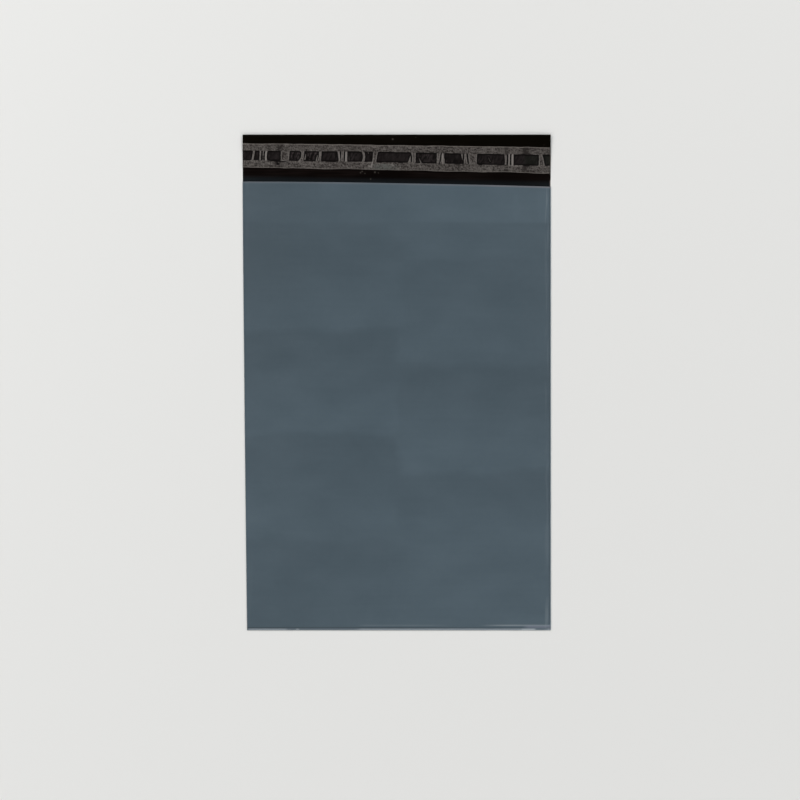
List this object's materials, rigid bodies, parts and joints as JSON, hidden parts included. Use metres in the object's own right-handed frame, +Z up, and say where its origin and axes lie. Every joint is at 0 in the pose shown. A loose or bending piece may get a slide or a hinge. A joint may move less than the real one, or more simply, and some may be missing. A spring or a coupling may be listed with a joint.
{
  "type": "poly mailer",
  "caption": "Flat grey film mailing bag, black inside, with welded sides, a bottom fold and an open lip carrying a glue strip under its release liner.",
  "frame": {"origin": "on the ground under the middle of the bag's outline, the bag lying on its back", "axes": "+X to the bag's right side, +Y from the bottom fold towards the lip, +Z up out of the back panel through the front panel"},
  "size_m": [0.3297, 0.53, 0.0097],
  "materials": {
    "grey_film": "satin",
    "black_film": "satin",
    "hot_melt": "gloss",
    "release_liner": "satin"
  },
  "bodies": {
    "root": {"grey_film": "grey_film", "black_film": "black_film", "glue_strip": "hot_melt", "release_liner": "release_liner"}
  },
  "joints": []
}
